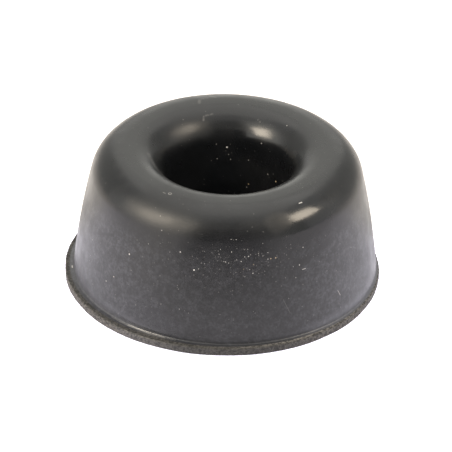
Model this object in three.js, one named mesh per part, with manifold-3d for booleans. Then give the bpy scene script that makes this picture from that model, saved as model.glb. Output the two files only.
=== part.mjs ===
// A round rubber bumper pad that is screwed to a cabinet, a drawer or the underside of a box.
//
// It is moulded in one piece. A slightly barrelled wall leans in from a thin flange at the foot to a rounded
// crown, which takes the knocks. A deep recess in the crown sinks the screw's head well below that surface,
// and the screw passes through a small hole in the recess's floor. The mould leaves the flange larger than it
// has to be, and a punch trims it, a little off the pad's centre and with a slightly uneven edge.
//
// Millimetres, +Z up. The underside is flat on z = 0, and the wall and the recess share the Z axis.

import * as THREE from "three";
import { mergeVertices, toCreasedNormals } from "three/addons/utils/BufferGeometryUtils.js";
import Module from "manifold-3d";

const wasm = await Module();
wasm.setup();

// The pad as a whole
const HEIGHT = 17.5; // underside to crown
const FOOT_RADIUS = 19; // the wall, where it meets the flange

// The outer wall is a shallow arc, so that it leans in more and more towards the crown.
const FOOT_LEAN_DEG = 5.5; // from upright, at the foot
const BARREL_RADIUS = 110;
const SHOULDER_RADIUS = 4.3; // wall to crown

// The recess for the screw's head
const RECESS_RADIUS = 7.9; // where the lip ends and its wall begins
const RECESS_DRAFT_DEG = 2; // narrower towards the floor
const LIP_RADIUS = 4; // crown to recess
const FLOOR_THICKNESS = 4.5; // rubber left under the screw's head
const FLOOR_FILLET_RADIUS = 0.8;

// The hole for the screw
const HOLE_RADIUS = 3; // loose on a 5 mm screw

// The trimmed flange
const FLANGE_THICKNESS = 0.95;
const FLANGE_FILLET_RADIUS = 0.2; // flange to wall
const TRIM_RADIUS = 19.7;
const TRIM_SHIFT_X = -0.36; // the punch's centre, off the pad's
const TRIM_SHIFT_Y = -0.45;
const TRIM_UNEVENNESS = 0.05; // how far the cut edge wanders in and out

// How finely the round surfaces are faceted
const TURN_SEGMENTS = 96;
const TRIM_POINTS = 144;
const CHORD_ERROR = 0.01; // how far a profile's arc and its facets may part
const CREASE_DEG = 25;

const radians = THREE.MathUtils.degToRad;
const point = (radius, height) => new THREE.Vector2(radius, height);

// Points along an arc of the turned profile, both ends included. Angles are in radians from the outward
// direction, and turn upwards.
function arc(centre, radius, from, to) {
  const widestStep = 2 * Math.acos(1 - Math.min(CHORD_ERROR / radius, 0.2));
  const steps = Math.ceil(Math.abs(to - from) / widestStep);
  return Array.from({ length: steps + 1 }, (_, i) => {
    const angle = from + ((to - from) * i) / steps;
    return point(centre.x + radius * Math.cos(angle), centre.y + radius * Math.sin(angle));
  });
}

// The barrelled wall's arc, which passes through the foot's edge at the foot's lean
function wallArc() {
  const lean = radians(FOOT_LEAN_DEG);
  const centre = point(
    FOOT_RADIUS - BARREL_RADIUS * Math.cos(lean),
    FLANGE_THICKNESS - BARREL_RADIUS * Math.sin(lean),
  );
  const leanAt = (height) => Math.asin((height - centre.y) / BARREL_RADIUS);
  const radiusAt = (height) => centre.x + BARREL_RADIUS * Math.cos(leanAt(height));
  return { centre, leanAt, radiusAt };
}

// The flange's fillet, the wall and the shoulder, from the flange up to the crown
function outerProfile(wall, shoulderRadius) {
  const filletHeight = FLANGE_THICKNESS + FLANGE_FILLET_RADIUS;
  const reach = BARREL_RADIUS + FLANGE_FILLET_RADIUS;
  const filletLean = Math.asin((filletHeight - wall.centre.y) / reach);
  const fillet = point(wall.centre.x + reach * Math.cos(filletLean), filletHeight);

  const shoulderHeight = HEIGHT - shoulderRadius;
  const shoulderLean = Math.asin((shoulderHeight - wall.centre.y) / (BARREL_RADIUS - shoulderRadius));
  const shoulder = point(
    wall.centre.x + (BARREL_RADIUS - shoulderRadius) * Math.cos(shoulderLean),
    shoulderHeight,
  );

  return [
    ...arc(fillet, FLANGE_FILLET_RADIUS, -Math.PI / 2, filletLean - Math.PI),
    ...arc(wall.centre, BARREL_RADIUS, filletLean, shoulderLean).slice(1, -1),
    ...arc(shoulder, shoulderRadius, shoulderLean, Math.PI / 2),
  ];
}

// The lip, the recess's wall and the fillet round its floor, from the crown down to the floor
function recessProfile(lipRadius) {
  const draft = radians(RECESS_DRAFT_DEG);
  const lip = point(RECESS_RADIUS + lipRadius * Math.cos(draft), HEIGHT - lipRadius);
  const wallTop = lip.y + lipRadius * Math.sin(draft);
  const wallRadiusAt = (height) => RECESS_RADIUS - (wallTop - height) * Math.tan(draft);

  const cornerHeight = FLOOR_THICKNESS + FLOOR_FILLET_RADIUS;
  const corner = point(
    wallRadiusAt(cornerHeight) - FLOOR_FILLET_RADIUS / Math.cos(draft),
    cornerHeight,
  );
  return [
    ...arc(lip, lipRadius, Math.PI / 2, Math.PI - draft),
    ...arc(corner, FLOOR_FILLET_RADIUS, -draft, -Math.PI / 2),
  ];
}

// The closed section of the pad as it leaves the mould. The rim between wall and recess limits the rounding
// on each side of the crown.
function mouldedProfile() {
  const wall = wallArc();
  const rim = wall.radiusAt(HEIGHT) - RECESS_RADIUS;
  const lipRadius = Math.min(LIP_RADIUS, rim / 2);
  const shoulderReach = Math.tan(Math.PI / 4 - wall.leanAt(HEIGHT) / 2);
  const shoulderRadius = Math.min(SHOULDER_RADIUS, (rim - lipRadius) / shoulderReach);

  const trimReach = TRIM_RADIUS + Math.hypot(TRIM_SHIFT_X, TRIM_SHIFT_Y) + TRIM_UNEVENNESS;
  const untrimmedRadius = Math.max(trimReach, FOOT_RADIUS + FLANGE_FILLET_RADIUS) + FLANGE_THICKNESS;
  const profile = [
    point(untrimmedRadius, 0),
    point(untrimmedRadius, FLANGE_THICKNESS),
    ...outerProfile(wall, shoulderRadius),
    ...recessProfile(lipRadius),
    point(HOLE_RADIUS, FLOOR_THICKNESS),
    point(HOLE_RADIUS, 0),
  ];
  return [...profile, profile[0].clone()];
}

// The punch's outline: a circle that wanders in and out, set off the pad's centre
function trimOutline() {
  const wander = (turn) =>
    (TRIM_UNEVENNESS * (Math.sin(5 * turn + 0.6) + Math.sin(11 * turn + 2.1) + Math.sin(17 * turn))) / 3;
  const outline = Array.from({ length: TRIM_POINTS }, (_, i) => {
    const turn = (2 * Math.PI * i) / TRIM_POINTS;
    const radius = TRIM_RADIUS + wander(turn);
    return point(TRIM_SHIFT_X + radius * Math.cos(turn), TRIM_SHIFT_Y + radius * Math.sin(turn));
  });
  return new THREE.Shape(outline);
}

function solidFrom(geometry) {
  geometry.deleteAttribute("normal");
  geometry.deleteAttribute("uv");
  const merged = mergeVertices(geometry);
  return new wasm.Manifold(
    new wasm.Mesh({
      numProp: 3,
      vertProperties: new Float32Array(merged.attributes.position.array),
      triVerts: new Uint32Array(merged.index.array),
    }),
  );
}

function geometryFrom(solid) {
  const { vertProperties, triVerts } = solid.getMesh();
  const geometry = new THREE.BufferGeometry();
  geometry.setAttribute("position", new THREE.BufferAttribute(vertProperties, 3));
  geometry.setIndex(new THREE.BufferAttribute(triVerts, 1));
  return toCreasedNormals(geometry, radians(CREASE_DEG));
}

// The profile is turned about Y, and then stood up along Z.
function mouldedPad() {
  return solidFrom(new THREE.LatheGeometry(mouldedProfile(), TURN_SEGMENTS).rotateX(Math.PI / 2));
}

// What the punch leaves: it is as tall as the pad and stands past it at both ends.
function punch() {
  const past = FLANGE_THICKNESS;
  const column = new THREE.ExtrudeGeometry(trimOutline(), { depth: HEIGHT + 2 * past, bevelEnabled: false });
  return solidFrom(column.translate(0, 0, -past));
}

const rubber = new THREE.MeshStandardMaterial({ color: 0x2a2a2c, roughness: 0.45, metalness: 0 });

const bumper = new THREE.Mesh(geometryFrom(mouldedPad().intersect(punch())), rubber);
bumper.name = "bumper";

const pad = new THREE.Group();
pad.add(bumper);

export default pad;
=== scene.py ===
# The looks of a round rubber bumper pad: one moulded piece of black rubber with a trimmed flange.
#
# The pad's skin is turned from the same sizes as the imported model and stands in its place. Lengths are in
# millimetres until a mesh or a node takes them, and the frame is in metres. Azimuths are in degrees round
# the pad, from its front at -Y towards +X.

import math

import bpy
from mathutils import Matrix, Vector, noise
from mathutils.geometry import intersect_point_line


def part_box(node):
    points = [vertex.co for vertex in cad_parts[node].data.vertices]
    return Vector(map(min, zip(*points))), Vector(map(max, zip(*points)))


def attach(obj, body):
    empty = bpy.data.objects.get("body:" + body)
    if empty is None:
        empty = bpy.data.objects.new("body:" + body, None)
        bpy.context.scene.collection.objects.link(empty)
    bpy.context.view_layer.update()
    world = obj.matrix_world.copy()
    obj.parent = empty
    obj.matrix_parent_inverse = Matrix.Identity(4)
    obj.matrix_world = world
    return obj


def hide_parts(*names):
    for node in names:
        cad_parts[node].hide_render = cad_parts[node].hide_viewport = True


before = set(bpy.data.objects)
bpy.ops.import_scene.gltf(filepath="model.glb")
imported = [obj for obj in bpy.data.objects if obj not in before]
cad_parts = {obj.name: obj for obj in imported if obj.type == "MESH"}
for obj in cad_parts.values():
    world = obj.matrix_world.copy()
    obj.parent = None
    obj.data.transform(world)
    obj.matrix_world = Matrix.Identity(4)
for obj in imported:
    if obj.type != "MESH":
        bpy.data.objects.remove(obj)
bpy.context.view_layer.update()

MM = 0.001

# The pad's sizes
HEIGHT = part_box("bumper")[1].z / MM
FOOT_RADIUS = 19
FOOT_LEAN = math.radians(5.5)
BARREL_RADIUS = 110
SHOULDER_RADIUS = 4.3
RECESS_RADIUS = 7.9
RECESS_DRAFT = math.radians(2)
LIP_RADIUS = 4
FLOOR_THICKNESS = 4.5
FLOOR_FILLET_RADIUS = 0.8
HOLE_RADIUS = 3
HOLE_EDGE_RADIUS = 0.25
FLANGE_THICKNESS = 0.95
FLANGE_FILLET_RADIUS = 0.2

# The trimmed edge
TRIM_CENTRE = Vector((-0.36, -0.45))  # the middle of its mean circle, off the pad's axis
TRIM_RADIUS = 19.7
TRIM_UNEVENNESS = 0.05  # how far it wanders in and out
TRIM_WAVES = ((5, 0.6), (11, 2.1), (17, 0.0))  # how it wanders: waves to a turn, and their phase
TRIM_EDGE_RADIUS = 0.08  # the rounding of its corners
LEAST_FLANGE = 0.03  # what the trimming leaves of the flange at its narrowest
TEAR_DEPTH = 0.09  # how deep the punch tears the edge
TEAR_SIZE = 0.35

# The moulding's waves, too shallow to see but for what they do to reflections
WAVE_DEPTH = 0.012
WAVE_SIZE = 6

# How finely the skin is faceted: columns to a turn, and steps along each stretch of the section
SKIN_COLUMNS = 640
EDGE_STEPS = 7
FILLET_STEPS = 8
ARC_STEPS = 24  # along the wall, the shoulder and the lip
RECESS_WALL_STEPS = 8
CORNER_STEPS = 6
HOLE_EDGE_STEPS = 4
FLOOR_STEPS = 3
HOLE_STEPS = 3

# Where the rows of the level faces lie, as shares of the way in from the cut edge. The outer part of the
# flange's top is torn, and its inner part is as smooth as the wall. The underside's rows crowd at its rims,
# so that its shading stays level up to them.
TORN_ROWS = (0.25, 0.5)
SMOOTH_ROWS = (0.7, 0.85)
UNDERSIDE_ROWS = (0.995, 0.9, 0.6, 0.3, 0.1, 0.02)


def point(radius, height):
    return Vector((radius, height))


def arc(centre, radius, start, end, steps):
    """Points along an arc of the turned profile, both ends included."""
    angles = [start + (end - start) * i / steps for i in range(steps + 1)]
    return [centre + radius * point(math.cos(a), math.sin(a)) for a in angles]


def line(start, end, steps):
    """Points between two ends of the profile, neither included."""
    return [start.lerp(end, i / steps) for i in range(1, steps)]


def wall_centre():
    """The centre of the arc that the barrelled wall follows."""
    foot = point(FOOT_RADIUS, FLANGE_THICKNESS)
    return foot - BARREL_RADIUS * point(math.cos(FOOT_LEAN), math.sin(FOOT_LEAN))


def outer_profile():
    """The flange's fillet, the wall and the shoulder, from the flange up to the crown."""
    wall = wall_centre()
    fillet_reach = BARREL_RADIUS + FLANGE_FILLET_RADIUS
    fillet_height = FLANGE_THICKNESS + FLANGE_FILLET_RADIUS
    fillet_lean = math.asin((fillet_height - wall.y) / fillet_reach)
    fillet = point(wall.x + fillet_reach * math.cos(fillet_lean), fillet_height)

    shoulder_reach = BARREL_RADIUS - SHOULDER_RADIUS
    shoulder_height = HEIGHT - SHOULDER_RADIUS
    shoulder_lean = math.asin((shoulder_height - wall.y) / shoulder_reach)
    shoulder = point(wall.x + shoulder_reach * math.cos(shoulder_lean), shoulder_height)
    return [
        *arc(fillet, FLANGE_FILLET_RADIUS, -math.pi / 2, fillet_lean - math.pi, FILLET_STEPS),
        *arc(wall, BARREL_RADIUS, fillet_lean, shoulder_lean, ARC_STEPS)[1:-1],
        *arc(shoulder, SHOULDER_RADIUS, shoulder_lean, math.pi / 2, ARC_STEPS),
    ]


def recess_profile():
    """The lip, the recess's wall, its floor and the screw hole, from the crown down to the underside."""
    lip = point(RECESS_RADIUS + LIP_RADIUS * math.cos(RECESS_DRAFT), HEIGHT - LIP_RADIUS)
    wall_top = lip.y + LIP_RADIUS * math.sin(RECESS_DRAFT)
    corner_height = FLOOR_THICKNESS + FLOOR_FILLET_RADIUS
    corner_wall = RECESS_RADIUS - (wall_top - corner_height) * math.tan(RECESS_DRAFT)
    corner = point(corner_wall - FLOOR_FILLET_RADIUS / math.cos(RECESS_DRAFT), corner_height)
    edge = point(HOLE_RADIUS + HOLE_EDGE_RADIUS, FLOOR_THICKNESS - HOLE_EDGE_RADIUS)
    hole_foot = point(HOLE_RADIUS, 0)

    lip_arc = arc(lip, LIP_RADIUS, math.pi / 2, math.pi - RECESS_DRAFT, ARC_STEPS)
    corner_arc = arc(corner, FLOOR_FILLET_RADIUS, -RECESS_DRAFT, -math.pi / 2, CORNER_STEPS)
    edge_arc = arc(edge, HOLE_EDGE_RADIUS, math.pi / 2, math.pi, HOLE_EDGE_STEPS)
    return [
        *lip_arc,
        *line(lip_arc[-1], corner_arc[0], RECESS_WALL_STEPS),
        *corner_arc,
        *line(corner_arc[-1], edge_arc[0], FLOOR_STEPS),
        *edge_arc,
        *line(edge_arc[-1], hole_foot, HOLE_STEPS),
        hole_foot,
    ]


def trim_radius(turn):
    """How far the trimmed edge lies from the pad's axis, in the direction of turn."""
    towards = Vector((math.cos(turn), math.sin(turn)))
    along = TRIM_CENTRE.dot(towards)
    aside = TRIM_CENTRE.cross(towards)
    across = along + math.sqrt(TRIM_RADIUS**2 - aside**2)
    seen = across * towards - TRIM_CENTRE
    t = math.atan2(seen.y, seen.x)
    wander = sum(math.sin(count * t + phase) for count, phase in TRIM_WAVES) / len(TRIM_WAVES)
    return across + TRIM_UNEVENNESS * wander


def flange_rim(turn):
    """Where the flange's level faces end, inside the rounding and the tears of the edge."""
    return trim_radius(turn) - TRIM_EDGE_RADIUS - TEAR_DEPTH / 2


def tear(spot):
    """How deep the cut edge is torn at a spot, from 0 to TEAR_DEPTH."""
    coarse = noise.noise(spot / TEAR_SIZE)
    fine = noise.noise(spot / (TEAR_SIZE * 0.4))
    return TEAR_DEPTH * min(1, max(0, 0.45 + 0.5 * coarse + 0.35 * fine))


def skin_rows():
    """The skin's rows, from the cut edge's foot round the whole section and back.

    Each is a function of turn that gives a radius and a height, with the kind of surface it belongs to."""

    def on_edge(height, inset, torn):
        def place(turn):
            spot = Vector((math.cos(turn), math.sin(turn), 0)) * TRIM_RADIUS + Vector((0, 0, height))
            return trim_radius(turn) - inset - torn * tear(spot), height
        return place, "cut"

    def on_level(height, share, inner_radius, kind):
        def place(turn):
            rim = flange_rim(turn)
            inner = min(inner_radius, rim - LEAST_FLANGE)
            return rim + (inner - rim) * share, height
        return place, kind

    def moulded(spot):
        def place(turn):
            return min(spot.x, flange_rim(turn) - LEAST_FLANGE), spot.y
        return place, "skin"

    outer = outer_profile()
    foot = outer[0].x
    low, high = TRIM_EDGE_RADIUS, FLANGE_THICKNESS - TRIM_EDGE_RADIUS
    edge_heights = [low + (high - low) * i / EDGE_STEPS for i in range(EDGE_STEPS + 1)]
    return [
        on_edge(0.0, TRIM_EDGE_RADIUS, 0.5),
        *[on_edge(height, 0, 1) for height in edge_heights],
        on_edge(FLANGE_THICKNESS, TRIM_EDGE_RADIUS, 0.5),
        *[on_level(FLANGE_THICKNESS, share, foot, "flange") for share in TORN_ROWS],
        *[on_level(FLANGE_THICKNESS, share, foot, "skin") for share in SMOOTH_ROWS],
        *[moulded(spot) for spot in outer],
        *[moulded(spot) for spot in recess_profile()[1:]],
        *[on_level(0.0, share, HOLE_RADIUS, "skin") for share in UNDERSIDE_ROWS],
    ]


def waved(spot):
    """A moulded spot, moved inwards by the moulding's waves."""
    outwards = Vector((spot.x, spot.y, 0)).normalized()
    depth = WAVE_DEPTH * (1 + noise.noise(spot / WAVE_SIZE)) / 2
    return spot - outwards * depth


def skin_mesh():
    """The pad's closed skin. Its attribute cut is set on the trimmed edge, and flange on the torn part of the
    flange's top. The underside and the recess's floor have no waves."""
    rows = skin_rows()
    spots, kinds = [], []
    for i in range(SKIN_COLUMNS):
        turn = 2 * math.pi * i / SKIN_COLUMNS
        for place, kind in rows:
            radius, height = place(turn)
            spot = Vector((radius * math.cos(turn), radius * math.sin(turn), height))
            if kind == "skin" and height not in (0, FLOOR_THICKNESS):
                spot = waved(spot)
            spots.append(spot * MM)
            kinds.append(kind)
    n = len(rows)
    faces = []
    for i in range(SKIN_COLUMNS):
        here, there = i * n, (i + 1) % SKIN_COLUMNS * n
        faces += [(here + k, there + k, there + (k + 1) % n, here + (k + 1) % n) for k in range(n)]
    mesh = bpy.data.meshes.new("bumper_skin")
    mesh.from_pydata(spots, [], faces)
    for name in ("cut", "flange"):
        shares = [float(kind == name) for kind in kinds]
        mesh.attributes.new(name, "FLOAT", "POINT").data.foreach_set("value", shares)
    mesh.shade_smooth()
    mesh.update()
    return mesh


class Nodes:
    """A node tree that is written as nested calls: an input takes a value or another node's output."""

    def __init__(self, tree):
        self.tree = tree
        tree.nodes.clear()

    def add(self, kind, *values, output=0, **settings):
        """A node, given as one of its outputs. The values go to its first inputs."""
        made = self.tree.nodes.new(kind)
        for name, setting in settings.items():
            setattr(made, name, setting)
        for socket, value in zip(made.inputs, values):
            self.feed(socket, value)
        return made.outputs[output]

    def feed(self, socket, value):
        if isinstance(value, bpy.types.NodeSocket):
            self.tree.links.new(value, socket)
        else:
            socket.default_value = value

    def show(self, shader):
        """Makes a shader what the material shows."""
        out = self.tree.nodes.new("ShaderNodeOutputMaterial")
        self.feed(out.inputs["Surface"], shader.outputs[0])

    def math(self, operation, *values, clamp=False):
        return self.add("ShaderNodeMath", *values, operation=operation, use_clamp=clamp)

    def folded(self, operation, values):
        total = values[0]
        for value in values[1:]:
            total = self.math(operation, total, value)
        return total

    def sum(self, *values):
        return self.folded("ADD", values)

    def product(self, *values):
        return self.folded("MULTIPLY", values)

    def largest(self, *values):
        return self.folded("MAXIMUM", values)

    def ramp(self, value, low, high, to_low=0.0, to_high=1.0):
        """Runs smoothly from to_low, where value is low, to to_high, where it is high."""
        ends = (low, high, to_low, to_high)
        return self.add("ShaderNodeMapRange", value, *ends, interpolation_type="SMOOTHSTEP")

    def vector(self, operation, *values, output="Vector"):
        return self.add("ShaderNodeVectorMath", *values, output=output, operation=operation)

    def apart(self, vector):
        """The three parts of a vector, or of a colour."""
        made = self.tree.nodes.new("ShaderNodeSeparateXYZ")
        self.feed(made.inputs[0], vector)
        return made.outputs

    def away(self, at, spot):
        return self.vector("DISTANCE", at, spot, output="Value")

    def away_from_line(self, at, start, end):
        """The distance from the straight stroke between two spots."""
        along = end - start
        offset = self.vector("SUBTRACT", at, start)
        share = self.vector("DOT_PRODUCT", offset, along / along.length_squared, output="Value")
        share = self.math("MULTIPLY", share, 1.0, clamp=True)
        foot = self.tree.nodes.new("ShaderNodeVectorMath")
        foot.operation = "SCALE"
        foot.inputs["Vector"].default_value = along
        self.feed(foot.inputs["Scale"], share)
        return self.away(offset, foot.outputs["Vector"])

    def cells(self, at, size):
        """Scattered points, size millimetres apart: the distance to the nearest, as a share of size, and its
        own random colour."""
        made = self.tree.nodes.new("ShaderNodeTexVoronoi")
        self.feed(made.inputs["Vector"], at)
        made.inputs["Scale"].default_value = 1 / (size * MM)
        return made.outputs["Distance"], made.outputs["Color"]

    def noise(self, at, size, detail=2.0, roughness=0.5):
        """Noise whose features are about size millimetres across."""
        made = self.tree.nodes.new("ShaderNodeTexNoise")
        self.feed(made.inputs["Vector"], at)
        made.inputs["Scale"].default_value = 1 / (size * MM)
        made.inputs["Detail"].default_value = detail
        made.inputs["Roughness"].default_value = roughness
        return made.outputs["Fac"]

    def mix(self, share, low, high):
        """A colour between low and high. The node has a set of sockets for each type, and 6, 7 and output 2
        are the ones for colours."""
        made = self.tree.nodes.new("ShaderNodeMix")
        made.data_type = "RGBA"
        self.feed(made.inputs[0], share)
        self.feed(made.inputs[6], low)
        self.feed(made.inputs[7], high)
        return made.outputs[2]


def new_material(name):
    material = bpy.data.materials.new(name)
    material.use_nodes = True
    return material, Nodes(material.node_tree)


def rgb(red, green, blue):
    return (red, green, blue, 1.0)


# The rubber's colours. A pair has the two ends of a range.
RUBBER = (rgb(0.0040, 0.0045, 0.0053), rgb(0.0053, 0.0058, 0.0070))
PITS = rgb(0.008, 0.008, 0.008)  # in the torn edge
EDGE_DUST = (rgb(0.047, 0.045, 0.043), rgb(0.106, 0.099, 0.091))  # front and back, sides
FLANGE_DUST = (rgb(0.062, 0.059, 0.056), rgb(0.20, 0.19, 0.18))  # left, right
# The haze's colour, which at the sides also paints sheen
HAZE_AND_SHEEN = rgb(0.57, 0.59, 0.69)
# The colour of lint and dust, which also paints the gleam on the flange's edge and a highlight on the lip
DUST_AND_GLEAM = rgb(0.82, 0.80, 0.77)
GOLD = rgb(0.85, 0.66, 0.42)

# How much of the skin the haze hides. A pair is for the front and the sides, and the extra at the sides is
# painted sheen as well as haze.
WALL_HAZE_AND_SHEEN = (0.0083, 0.018)
SHOULDER_HAZE = 0.0015
FOOT_HAZE_AND_SHEEN = (0.02, 0.09)
# The foot's haze reaches higher at the sides, where it is partly painted sheen
FOOT_HAZE_AND_SHEEN_HEIGHT = (1.9, 3.0)  # how high the thicker haze of the foot reaches
FLANGE_FRONT_HAZE = 0.028
# On the flange's inner strip at the sides, the haze is partly painted sheen
FLANGE_SIDE_HAZE_AND_SHEEN = (0.055, 0.12)  # left, right

# The rubber's gloss and its relief
RUBBER_IOR = 1.46
WALL_ROUGHNESS = 0.38
CROWN_ROUGHNESS = 0.31
LEAST_ROUGHNESS = 0.12
DULLING = 0.4  # what dust and tears add to the roughness
RIPPLE_HEIGHT = 0.005
MOTTLE_HEIGHT = 0.003
SKIN_GRAIN = 0.001
CUT_GRAIN = 0.06
FLANGE_GRAIN = 0.03

# Scattered dust: how far apart its specks are, the least and the greatest radius, as shares of that, and the
# faintest and the palest strength
COARSE_DUST = (0.32, 0.12, 0.28, 0.06, 0.55)
FINE_DUST = (0.24, 0.2, 0.45, 0.004, 0.08)
DUST_MIDDLE = (5, 17.4, 12.0)  # where it is thickest: azimuth, radius and height

# Where the pad's moulded skin is glossier or duller than elsewhere: azimuth, radius and height of the middle,
# the reach, and by how much the roughness changes there
SHEEN = (
    (39, 16.0, 16.0, 5, -0.11),
    (23.5, 16.0, 16.0, 2.1, 0.28),
    (148, 8.7, 15.9, 6, -0.07),
    (-30, 16.0, 16.0, 7, 0.15),
    (-145, 9.0, 16.0, 4, 0.06),
    (-31, 19.2, 1.1, 6, -0.27),
)

# Specks of dust that stand out: azimuth, radius and height of the place, the speck's radius and how pale it
# is. Each lies on the skin where it comes nearest to its place.
SPECKS = (
    (-41.5, 17.7, 10.1, 0.10, 0.60),
    (-48.0, 18.4, 6.2, 0.09, 0.36),
    (-52.0, 18.5, 5.0, 0.09, 0.34),
    (-27.7, 16.8, 14.6, 0.08, 0.22),
    (-33.0, 17.3, 12.4, 0.08, 0.15),
    (-38.7, 17.3, 12.3, 0.07, 0.10),
    (-66.0, 18.0, 8.4, 0.08, 0.20),
    (-62.0, 18.2, 7.1, 0.07, 0.14),
    (-65.5, 18.5, 5.6, 0.07, 0.12),
    (-39.5, 18.1, 8.2, 0.07, 0.12),
    (-35.5, 18.7, 4.0, 0.07, 0.14),
    (-24.7, 18.5, 5.2, 0.07, 0.14),
    (-18.5, 17.3, 12.5, 0.09, 0.38),
    (-23.0, 17.4, 12.2, 0.07, 0.12),
    (-18.0, 18.1, 7.7, 0.07, 0.10),
    (-12.3, 17.7, 10.5, 0.10, 0.60),
    (-10.5, 17.6, 10.7, 0.07, 0.26),
    (-9.5, 17.5, 11.5, 0.06, 0.16),
    (-2.5, 17.2, 12.8, 0.07, 0.24),
    (-0.5, 17.4, 11.9, 0.07, 0.22),
    (1.5, 17.4, 11.7, 0.07, 0.26),
    (4.7, 17.3, 12.1, 0.07, 0.22),
    (6.5, 17.4, 11.9, 0.08, 0.30),
    (9.5, 17.3, 12.5, 0.08, 0.36),
    (9.2, 17.1, 13.4, 0.07, 0.16),
    (13.7, 17.3, 12.5, 0.07, 0.14),
    (17.5, 17.4, 11.9, 0.08, 0.28),
    (11.2, 17.7, 10.3, 0.08, 0.32),
    (13.5, 17.7, 10.2, 0.06, 0.12),
    (8.0, 17.7, 9.9, 0.07, 0.16),
    (-2.0, 17.6, 10.9, 0.06, 0.16),
    (24.5, 17.9, 9.1, 0.06, 0.12),
    (28.2, 17.7, 10.3, 0.07, 0.18),
    (31.0, 17.7, 10.3, 0.08, 0.42),
    (29.0, 18.0, 8.8, 0.07, 0.24),
    (25.5, 18.3, 6.3, 0.06, 0.14),
    (33.3, 17.3, 12.4, 0.08, 0.30),
    (38.5, 18.2, 7.4, 0.06, 0.10),
    (44.0, 18.1, 8.2, 0.07, 0.12),
    (49.0, 18.2, 7.6, 0.07, 0.14),
    (60.0, 17.9, 9.2, 0.07, 0.22),
    (63.5, 17.5, 11.3, 0.06, 0.14),
    (-85.0, 19.3, 1.0, 0.09, 0.35),
    (-25.0, 12.4, 17.5, 0.05, 0.08),
    (-116.7, 11.2, 17.4, 0.06, 0.10),
    (49.0, 12.0, 17.5, 0.06, 0.10),
    (56.0, 13.1, 17.5, 0.06, 0.09),
    (103.0, 11.2, 17.4, 0.06, 0.08),
    (133.5, 10.1, 17.1, 0.09, 0.22),
    (-145.0, 9.9, 16.9, 0.07, 0.12),
    (-179.3, 7.9, 13.2, 0.12, 0.65),
    (179.0, 7.9, 12.2, 0.08, 0.22),
    (177.0, 7.9, 11.5, 0.08, 0.24),
    (-170.5, 7.9, 11.6, 0.08, 0.32),
    (-169.5, 7.9, 13.7, 0.07, 0.24),
    (-165.0, 7.8, 11.4, 0.07, 0.12),
    (160.3, 7.9, 11.7, 0.08, 0.34),
    (148.3, 8.0, 14.5, 0.09, 0.24),
    (139.0, 7.8, 10.6, 0.08, 0.32),
    (161.0, 7.7, 7.8, 0.08, 0.32),
)

# Golden specks among them
GOLD_SPECKS = (
    (18.7, 17.4, 11.9, 0.08, 0.34),
    (20.8, 17.4, 11.9, 0.09, 0.30),
    (7.5, 17.6, 10.9, 0.08, 0.10),
    (11.5, 17.5, 11.4, 0.09, 0.12),
    (128.0, 7.8, 10.2, 0.10, 0.62),
    (159.3, 7.7, 8.3, 0.09, 0.50),
)

# Strokes of lint: the two ends, given as above, half the width and how pale the stroke is
LINT = (
    ((37.2, 14.7, 17.0), (38.8, 14.7, 17.0), 0.07, 0.42),
    ((32.2, 17.8, 9.6), (33.6, 17.8, 9.6), 0.06, 0.26),
    ((48.9, 18.5, 4.9), (50.1, 18.6, 4.1), 0.05, 0.20),
    ((23.2, 18.2, 6.3), (25.9, 18.5, 4.3), 0.05, 0.03),
    ((-85.8, 19.3, 0.95), (-84.4, 19.5, 0.95), 0.07, 0.40),
    ((-36.0, 13.2, 17.5), (-34.6, 13.2, 17.5), 0.06, 0.12),
)

# A painted highlight: the gleam along the flange's inner edge at the front left, given as strokes of pale
# colour
PAINTED_GLEAM = (
    ((-46.0, 19.2, 0.95), (-42.0, 19.2, 0.95), 0.08, 0.05),
    ((-42.0, 19.2, 0.95), (-38.0, 19.2, 0.95), 0.09, 0.10),
    ((-38.0, 19.2, 0.95), (-28.0, 19.2, 0.95), 0.11, 0.19),
    ((-28.0, 19.2, 0.95), (-22.0, 19.2, 0.95), 0.10, 0.13),
    ((-22.0, 19.2, 0.95), (-18.0, 19.2, 0.95), 0.08, 0.06),
)

# Smeared scuffs, given as strokes. The last is a painted highlight on the lip at the right.
SCUFFS_AND_HIGHLIGHT = (
    ((-162.0, 12.0, 17.5), (-163.5, 12.9, 17.4), 0.22, 0.035),
    ((-163.5, 12.9, 17.4), (-168.0, 13.0, 17.4), 0.20, 0.035),
    ((-170.0, 13.5, 17.3), (-172.5, 13.1, 17.4), 0.20, 0.050),
    ((-162.0, 14.0, 17.2), (-164.0, 13.6, 17.3), 0.20, 0.030),
    ((-162.0, 9.8, 16.8), (-168.5, 9.9, 16.9), 0.13, 0.040),
    ((-161.5, 9.7, 16.8), (-160.5, 9.3, 16.5), 0.15, 0.045),
    ((155.0, 9.4, 16.6), (157.0, 9.6, 16.7), 0.16, 0.030),
    ((-87.0, 9.8, 16.9), (-79.0, 9.5, 16.7), 0.30, 0.035),
    ((-79.0, 9.5, 16.7), (-68.0, 9.4, 16.6), 0.30, 0.045),
    ((-68.0, 9.4, 16.6), (-58.0, 9.2, 16.5), 0.22, 0.040),
    # A painted highlight, faint and broad, on the lip at the right
    ((102.0, 8.7, 15.9), (108.0, 8.7, 15.9), 0.30, 0.012),
)

# A droplet's dried ring: its place, its radius, half its line's width and how pale it is
RING = (-32.3, 12.95, 17.5, 0.19, 0.055, 0.17)

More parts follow.
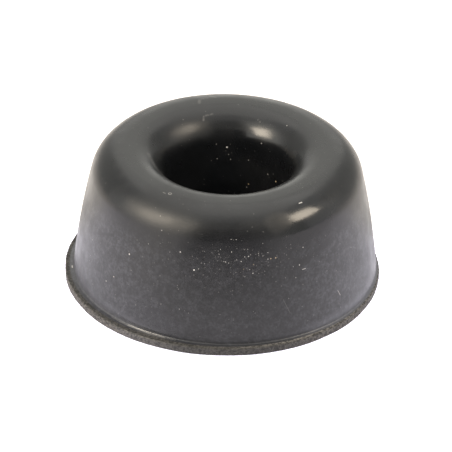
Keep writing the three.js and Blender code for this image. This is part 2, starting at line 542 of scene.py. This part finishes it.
# Where something has rubbed the haze off the wall, given as strokes
RUBBED = (
    ((-73.0, 18.0, 8.3), (-60.6, 17.7, 10.2), 0.16, 0.5),
    ((-60.6, 17.7, 10.2), (-52.0, 17.5, 11.3), 0.20, 0.9),
    ((26.7, 17.8, 9.3), (31.5, 17.7, 10.6), 0.45, 0.7),
    ((31.5, 17.7, 10.6), (47.7, 17.4, 11.9), 0.55, 0.8),
    ((-74.0, 18.8, 2.9), (-73.6, 18.8, 2.9), 0.12, 0.8),
)


def spot_at(azimuth, radius, height):
    a = math.radians(azimuth)
    return Vector((radius * math.sin(a), -radius * math.cos(a), height)) * MM


def on_skin(azimuth, radius, height):
    """The spot on the moulded section that is nearest to a place."""
    place = point(radius, height)
    section = [*outer_profile(), *recess_profile()]
    near = []
    for start, end in zip(section, section[1:]):
        if (end - start).length > 0:
            share = intersect_point_line(place, start, end)[1]
            near.append(start.lerp(end, min(1, max(0, share))))
    closest = min(near, key=lambda spot: (spot - place).length)
    return spot_at(azimuth, closest.x, closest.y)


def faded(n, gap, reach, pale):
    """A mark's strength: pale in the mark's middle, and nothing a little past its reach."""
    return n.ramp(gap, 1.3 * reach * MM, 0.4 * reach * MM, 0, pale)


def spots(n, at, specks):
    return n.largest(*[
        faded(n, n.away(at, on_skin(azimuth, radius, height)), size, pale)
        for azimuth, radius, height, size, pale in specks
    ])


def drawn(n, at, strokes):
    return n.largest(*[
        faded(n, n.away_from_line(at, on_skin(*start), on_skin(*end)), half, pale)
        for start, end, half, pale in strokes
    ])


def ring(n, at):
    *place, size, half, pale = RING
    gap = n.math("ABSOLUTE", n.math("SUBTRACT", n.away(at, on_skin(*place)), size * MM))
    return faded(n, gap, half, pale)


def sprinkled(n, at, share, size, least, most, faint, pale):
    """Round specks in a share of cells that are size millimetres apart. Their radii run from least to most,
    as a share of size, and their strengths from faint to pale. Most are faint."""
    distance, colour = n.cells(at, size)
    chance, width, strength = n.apart(colour)
    here = n.math("LESS_THAN", chance, share)
    radius = n.ramp(width, 0, 1, least, most)
    dot = n.ramp(distance, radius, n.product(radius, 0.4))
    return n.product(here, dot, n.ramp(n.product(strength, strength), 0, 1, faint, pale))


def scattered_dust(n, at):
    """Fine specks: many on the front of the wall, below the shoulder, and few elsewhere. Their crowd is wider
    than it is high, so heights count for more than widths in the distance from its middle."""
    stretch = Vector((1, 1, 2.2))
    gap = n.away(n.vector("MULTIPLY", at, stretch), on_skin(*DUST_MIDDLE) * stretch)
    crowd = n.ramp(gap, 8 * MM, 2 * MM)
    coarse = sprinkled(n, at, n.ramp(crowd, 0, 1, 0.02, 0.75), *COARSE_DUST)
    below = n.ramp(n.apart(at)[2], 14.5 * MM, 12.5 * MM, 0.1, 1)
    grains = n.product(below, n.ramp(gap, 14 * MM, 2 * MM, 0.08, 0.65))
    fine = sprinkled(n, at, grains, *FINE_DUST)
    return n.largest(n.product(coarse, n.ramp(crowd, 0, 0.5, 0.35, 0.9)), fine)


class Surface:
    """What the rubber's looks depend on: the place, the kind of surface, and noises from coarse to fine."""

    def __init__(self, n):
        self.at = n.add("ShaderNodeTexCoord", output="Object")
        self.across, _, self.height_up = n.apart(self.at)
        self.side = n.ramp(n.math("ABSOLUTE", self.across), 4 * MM, 17 * MM)

        self.cut = n.add("ShaderNodeAttribute", output="Fac", attribute_name="cut")
        self.flange = n.add("ShaderNodeAttribute", output="Fac", attribute_name="flange")
        self.moulded = n.math("SUBTRACT", 1.0, n.sum(self.cut, self.flange), clamp=True)

        self.cloud = n.noise(self.at, 9, 3)
        self.ripple = n.noise(self.at, 2.2, 4)
        self.patches = n.noise(self.at, 0.8, 2)
        self.mottle = n.noise(self.at, 0.34, 2, 0.6)
        self.grain = n.noise(self.at, 0.26, 3, 0.7)


def haze_and_side_sheen(n, s):
    """The share of the skin that the greyish haze hides. It is mottled and faint on the wall. At the wall's
    foot and on the flange it is thicker, most so at the sides, where the extra is painted sheen as well as
    dust. It is rubbed off in places, and the top of the crown, the recess and the underside have none."""
    flange_top = FLANGE_THICKNESS * MM
    fillet_top = (FLANGE_THICKNESS + FLANGE_FILLET_RADIUS) * MM
    level = n.vector("MULTIPLY", s.at, (1, 1, 0))
    outer = n.ramp(n.vector("LENGTH", level, output="Value"), 12 * MM, 14 * MM)
    above = n.ramp(s.height_up, 0.0, fillet_top)

    # Thicker at the sides: painted sheen as well as haze
    wall = n.product(n.ramp(s.height_up, 14.2 * MM, 11 * MM), n.ramp(s.side, 0, 1, *WALL_HAZE_AND_SHEEN))
    mottled = n.product(n.ramp(s.mottle, 0.3, 0.7, 0.3, 1.7), n.ramp(s.patches, 0.3, 0.7, 0.4, 1.6))
    haze = n.product(n.sum(SHOULDER_HAZE, wall), mottled)

    # The foot's haze is thicker and higher at the sides: painted sheen as well as dust
    reach = n.ramp(s.side, 0, 1, *[height * MM for height in FOOT_HAZE_AND_SHEEN_HEIGHT])
    flange_side = n.ramp(s.across, 0, 17 * MM, *FLANGE_SIDE_HAZE_AND_SHEEN)
    front = n.ramp(s.height_up, flange_top, fillet_top, FLANGE_FRONT_HAZE, FOOT_HAZE_AND_SHEEN[0])
    side = n.ramp(s.height_up, flange_top, fillet_top, flange_side, FOOT_HAZE_AND_SHEEN[1])
    foot = n.product(n.ramp(s.height_up, reach, flange_top), n.ramp(s.side, 0, 1, front, side))

    kept = []
    for start, end, half, share in RUBBED:
        gap = n.away_from_line(s.at, on_skin(*start), on_skin(*end))
        kept.append(n.ramp(gap, 0.3 * half * MM, 1.6 * half * MM, 1 - share, 1))
    return n.product(s.moulded, outer, above, n.sum(haze, foot), *kept)


def bare_rubber(n, s):
    """The rubber's own colour: nearly black where it is moulded, and dusty with dark pits where torn."""
    skin = n.mix(n.ramp(s.cloud, 0.3, 0.7), *RUBBER)
    raised = n.ramp(s.grain, 0.36, 0.64)
    edge = n.mix(raised, PITS, n.mix(s.side, *EDGE_DUST))
    top = n.mix(raised, PITS, n.mix(n.ramp(s.across, -6 * MM, 18 * MM), *FLANGE_DUST))
    return n.mix(s.flange, n.mix(s.cut, skin, edge), top)


def pale_marks(n, s):
    """The share of the skin that lint, dust and scuffs hide, with a painted gleam on the flange's edge and a
    painted highlight on the lip.
    """
    # The scuffs include a painted highlight on the lip
    scuffs = n.product(drawn(n, s.at, SCUFFS_AND_HIGHLIGHT), n.ramp(s.mottle, 0.35, 0.6, 0.2, 1.3))
    # The gleam strokes paint a highlight onto the flange's edge
    placed = (drawn(n, s.at, LINT + PAINTED_GLEAM), ring(n, s.at), spots(n, s.at, SPECKS), scuffs)
    return n.largest(*placed, n.product(s.moulded, scattered_dust(n, s.at)))


def roughness(n, s, marks):
    """The wall is a little duller than the crown. Dust and tears are duller still."""
    skin = n.sum(
        n.ramp(s.height_up, 9 * MM, 14 * MM, WALL_ROUGHNESS, CROWN_ROUGHNESS),
        n.ramp(s.cloud, 0.3, 0.7, -0.04, 0.04),
        n.ramp(s.ripple, 0.35, 0.65, -0.03, 0.03),
    )
    for azimuth, radius, height, reach, change in SHEEN:
        gap = n.away(s.at, spot_at(azimuth, radius, height))
        skin = n.sum(skin, n.ramp(gap, reach * MM, 0.3 * reach * MM, 0, change))
    return n.sum(n.largest(skin, LEAST_ROUGHNESS), n.product(n.sum(s.cut, s.flange, marks), DULLING))


def relief(n, s):
    """What is too fine for the mesh: ripples in the moulded skin, and the grain of the torn edge. The grain
    rises and falls about the surface, so that it leaves no step at its border."""
    torn = n.sum(SKIN_GRAIN, n.product(s.cut, CUT_GRAIN), n.product(s.flange, FLANGE_GRAIN))
    grain = n.product(torn, n.math("SUBTRACT", s.grain, 0.5))
    height = n.sum(n.product(s.ripple, RIPPLE_HEIGHT), n.product(s.mottle, MOTTLE_HEIGHT), grain)
    bump = n.tree.nodes.new("ShaderNodeBump")
    bump.inputs["Strength"].default_value = 1.0
    bump.inputs["Distance"].default_value = MM
    n.feed(bump.inputs["Height"], height)
    return bump.outputs["Normal"]


def rubber_material():
    material, n = new_material("black_rubber")
    s = Surface(n)
    marks = pale_marks(n, s)
    # Haze over the bare rubber, with painted sheen at the sides
    haze_and_sheen_colour = n.mix(haze_and_side_sheen(n, s), bare_rubber(n, s), HAZE_AND_SHEEN)
    colour = n.mix(spots(n, s.at, GOLD_SPECKS), n.mix(marks, haze_and_sheen_colour, DUST_AND_GLEAM), GOLD)

    shader = n.tree.nodes.new("ShaderNodeBsdfPrincipled")
    shader.distribution = "GGX"
    shader.inputs["IOR"].default_value = RUBBER_IOR
    n.feed(shader.inputs["Base Color"], colour)
    n.feed(shader.inputs["Roughness"], roughness(n, s, marks))
    n.feed(shader.inputs["Normal"], relief(n, s))
    n.show(shader)
    return material


def pad_skin():
    skin = bpy.data.objects.new("pad_skin", skin_mesh())
    skin.data.materials.append(rubber_material())
    bpy.context.scene.collection.objects.link(skin)
    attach(skin, "root")
    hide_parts("bumper")


# The camera, as fitted to the pad's outline, foot and lip in the photograph
CAMERA_ELEVATION = math.radians(31.215)
CAMERA_ROLL = math.radians(1.35)
CAMERA_DISTANCE = 700
CAMERA_SHIFT = Vector((-0.147, 5.492))  # the pad's origin from the picture's middle, to the right and down
FOCAL_LENGTH_PX = 5577
PICTURE_PX = 452
SENSOR = 36


def make_camera():
    right = Vector((1, 0, 0))
    ahead = Vector((0, math.cos(CAMERA_ELEVATION), -math.sin(CAMERA_ELEVATION)))
    up = right.cross(ahead)
    c, s = math.cos(CAMERA_ROLL), math.sin(CAMERA_ROLL)
    shift_right = -(c * CAMERA_SHIFT.x + s * CAMERA_SHIFT.y)
    shift_up = c * CAMERA_SHIFT.y - s * CAMERA_SHIFT.x
    place = right * shift_right + up * shift_up - ahead * CAMERA_DISTANCE
    turned = Matrix((c * right + s * up, c * up - s * right, -ahead)).transposed()

    data = bpy.data.cameras.new("camera")
    data.sensor_width = SENSOR
    data.lens = FOCAL_LENGTH_PX / PICTURE_PX * SENSOR
    camera = bpy.data.objects.new("camera", data)
    camera.matrix_world = Matrix.Translation(place * MM) @ turned.to_4x4()
    bpy.context.scene.collection.objects.link(camera)
    bpy.context.scene.camera = camera


# What the lights face: the middle of the pad's crown
TARGET = Vector((0, 0, 14))

FLOOR_HALF = 3000  # half its side
FLOOR_GAP = 0.05  # how far the floor lies below the underside, so that the two don't share a plane

# The floor in front of the pad and behind it
FLOOR_COLOUR = (rgb(0.70, 0.70, 0.79), rgb(0.72, 0.70, 0.69))
FLOOR_GLOW = (rgb(1.01, 0.99, 1.12), rgb(1.0, 0.97, 0.96))

SURROUND_COLOUR = rgb(1.0, 0.985, 0.95)
SURROUND_STRENGTH = 1.25

# Upright cards round the pad, which make the bright and the dark sides of the room that its skin mirrors:
# azimuth, distance, width, the heights of the lower and the upper side, and brightness
CARD_COLOUR = rgb(1, 0.99, 0.92)
CARDS = {
    "front_dark": (0, 78, 96, 0, 70, 0.06),
    "front_dim": (0, 105, 140, 95, 230, 0.5),
    "right_dim": (40, 330, 350, 0, 450, 0.8),
    "left_glow": (-62, 340, 400, 50, 640, 2.3),
    "back_left_dim": (-130, 200, 180, 0, 210, 0.65),
    "back_right_dim": (130, 200, 180, 0, 210, 0.65),
    "back_bright": (180, 150, 160, 60, 150, 1.45),
    "back_low_bright": (180, 150, 50, 15, 60, 1.8),
    "back_low_dim": (180, 420, 700, 0, 75, 0.7),
}

# The lights: azimuth, elevation, distance, width and height as the angles that they subtend, radiance, colour
WARM = (1.0, 0.87, 0.70)
LIGHTS = {
    "overhead": (180, 70, 400, 50, 50, 1.05, (1.0, 0.97, 0.89)),
    "front_right": (75, 39, 300, 23, 20, 12.5, WARM),
    "front_left": (-60, 31.5, 300, 24, 25, 16.5, WARM),
}


def direction(azimuth, elevation):
    a, e = math.radians(azimuth), math.radians(elevation)
    return Vector((math.sin(a) * math.cos(e), -math.cos(a) * math.cos(e), math.sin(e)))


def subtended(angle, distance):
    """How wide something is that subtends an angle at a distance."""
    return 2 * distance * math.tan(math.radians(angle / 2)) * MM


def softbox(name, azimuth, elevation, distance, width, height, radiance, colour):
    """A rectangular light that faces the pad."""
    data = bpy.data.lights.new(name, "AREA")
    data.shape = "RECTANGLE"
    data.size = subtended(width, distance)
    data.size_y = subtended(height, distance)
    data.energy = radiance * math.pi * data.size * data.size_y
    data.color = colour
    light = bpy.data.objects.new(name, data)
    towards = direction(azimuth, elevation)
    light.location = (TARGET + towards * distance) * MM
    light.rotation_mode = "QUATERNION"
    light.rotation_quaternion = towards.to_track_quat("Z", "Y")
    light.visible_camera = False
    bpy.context.scene.collection.objects.link(light)


def glow(name, brightness):
    material, n = new_material(name)
    shader = n.tree.nodes.new("ShaderNodeEmission")
    shader.inputs["Color"].default_value = CARD_COLOUR
    shader.inputs["Strength"].default_value = brightness
    n.show(shader)
    return material


def plane(name, corners, material):
    mesh = bpy.data.meshes.new(name)
    mesh.from_pydata([Vector(corner) * MM for corner in corners], [], [tuple(range(len(corners)))])
    mesh.materials.append(material)
    made = bpy.data.objects.new(name, mesh)
    bpy.context.scene.collection.objects.link(made)
    return made


def card(name, azimuth, distance, width, low, high, brightness):
    """An upright glowing card that faces the pad, from the height low to high. Only reflections show it."""
    middle = direction(azimuth, 0) * distance
    side = direction(azimuth + 90, 0) * width / 2
    left, right = middle - side, middle + side
    rise = Vector((0, 0, 1))
    corners = (left + rise * low, right + rise * low, right + rise * high, left + rise * high)
    made = plane(name, corners, glow(name, brightness))
    made.visible_camera = False
    made.visible_diffuse = False
    made.visible_shadow = False


def floor_material():
    """A pale floor that glows near the pad: most beside it, less behind it, and fading to nothing in front,
    on the dark side of the room. It is a little bluish, but neutral behind the pad."""
    material, n = new_material("floor")
    at = n.add("ShaderNodeTexCoord", output="Object")
    back = n.apart(at)[1]
    front_lit = n.ramp(back, -45 * MM, -5 * MM)
    back_lit = n.ramp(back, 8 * MM, 16 * MM, 1, 0.45)
    pool = n.ramp(n.vector("LENGTH", at, output="Value"), 35 * MM, 80 * MM, 1, 0)
    behind = n.ramp(back, 7 * MM, 15 * MM)
    shader = n.tree.nodes.new("ShaderNodeBsdfPrincipled")
    shader.inputs["Roughness"].default_value = 0.9
    shader.inputs["Specular IOR Level"].default_value = 0.0
    n.feed(shader.inputs["Base Color"], n.mix(behind, *FLOOR_COLOUR))
    n.feed(shader.inputs["Emission Color"], n.mix(behind, *FLOOR_GLOW))
    n.feed(shader.inputs["Emission Strength"], n.product(front_lit, back_lit, pool))
    n.show(shader)
    return material


def make_stage():
    """The floor, the white surround, the cards and the lights."""
    half, low = FLOOR_HALF, -FLOOR_GAP
    corners = ((-half, -half, low), (half, -half, low), (half, half, low), (-half, half, low))
    plane("floor", corners, floor_material())

    world = bpy.data.worlds.new("surround")
    world.use_nodes = True
    background = world.node_tree.nodes["Background"]
    background.inputs["Color"].default_value = SURROUND_COLOUR
    background.inputs["Strength"].default_value = SURROUND_STRENGTH
    bpy.context.scene.world = world

    for name, settings in CARDS.items():
        card(name, *settings)
    for name, settings in LIGHTS.items():
        softbox(name, *settings)
    bpy.context.scene.view_settings.view_transform = "Standard"


make_camera()
pad_skin()
make_stage()
